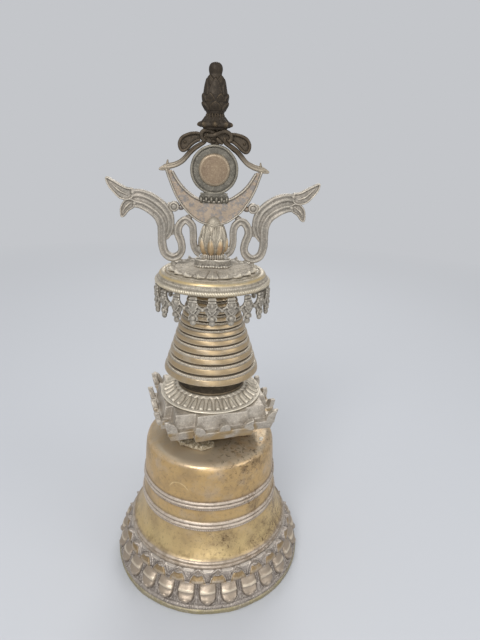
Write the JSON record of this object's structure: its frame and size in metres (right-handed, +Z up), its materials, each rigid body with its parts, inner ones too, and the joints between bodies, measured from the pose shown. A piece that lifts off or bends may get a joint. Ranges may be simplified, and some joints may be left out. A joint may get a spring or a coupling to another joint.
{
  "type": "reliquary stupa",
  "caption": "Tiered bronze reliquary stupa with a lotus base, bell-shaped dome, ringed spire, fringed canopy and a moon, sun and jewel crest.",
  "frame": {"origin": "middle of the foot, on the surface that the stupa stands on", "axes": "+Z up through the spire and the jewel; the flat crest faces -Y, and its streamers point along -X and +X"},
  "size_m": [0.122, 0.122, 0.3],
  "materials": {
    "brass": "turned and once polished, now worn and spotted with dark patina",
    "old_bronze": "cast, dull grey-brown with bright edges",
    "pale_bronze": "cast, dull silvery beige with dirt in the recesses",
    "dark_bronze": "cast, dark brown patina",
    "moon_bronze": "reddish cast bronze with blue-grey stains",
    "copper": "beaten sheet, dull",
    "iron": "forged, dull",
    "wood": "bare"
  },
  "bodies": {
    "base": {"lotus_base": "old_bronze", "base_plate": "copper", "dome": "brass", "dome_collar": "old_bronze", "life_pole": "wood", "spindle": "iron", "spindle_washer": "iron", "spindle_nut": "iron"},
    "harmika": {"harmika_block": "pale_bronze", "harmika_lotus": "pale_bronze", "spire_seat": "old_bronze"},
    "spire": {"ring_01": "brass", "ring_02": "brass", "ring_03": "brass", "ring_04": "brass", "ring_05": "brass", "ring_06": "brass", "ring_07": "brass", "ring_08": "brass", "ring_09": "brass", "ring_10": "brass", "ring_11": "brass", "ring_12": "brass", "ring_13": "brass"},
    "canopy": {"canopy_disc": "old_bronze", "canopy_lotus": "pale_bronze", "pendant_fringe": "pale_bronze"},
    "finial": {"crest_tenon": "iron", "crest_plinth": "pale_bronze", "bud_collar": "pale_bronze", "lotus_bud": "pale_bronze", "moon_crescent": "moon_bronze", "sun_pad": "pale_bronze", "sun_ring": "old_bronze", "sun_disc": "moon_bronze", "scarf_knot": "dark_bronze", "jewel_lotus": "dark_bronze", "jewel_collar": "dark_bronze", "jewel": "dark_bronze", "streamer_left": "pale_bronze", "streamer_right": "pale_bronze", "roundel_left": "pale_bronze", "roundel_right": "pale_bronze", "scarf_loop_left": "dark_bronze", "scarf_loop_right": "dark_bronze", "scarf_tail_left": "dark_bronze", "scarf_tail_right": "dark_bronze"}
  },
  "joints": [
    {"name": "harmika_turn", "type": "hinge", "parent": "base", "child": "harmika", "pos_m": [0, 0, 0.104], "axis": [0, 0, 1], "continuous": true},
    {"name": "spire_lift", "type": "slide", "parent": "harmika", "child": "spire", "axis": [0, 0, 1], "range_m": [0, 0.045]},
    {"name": "canopy_turn", "type": "hinge", "parent": "spire", "child": "canopy", "pos_m": [0, 0, 0.1884], "axis": [0, 0, 1], "continuous": true},
    {"name": "finial_lift", "type": "slide", "parent": "canopy", "child": "finial", "axis": [0, 0, 1], "range_m": [0, 0.01]}
  ]
}
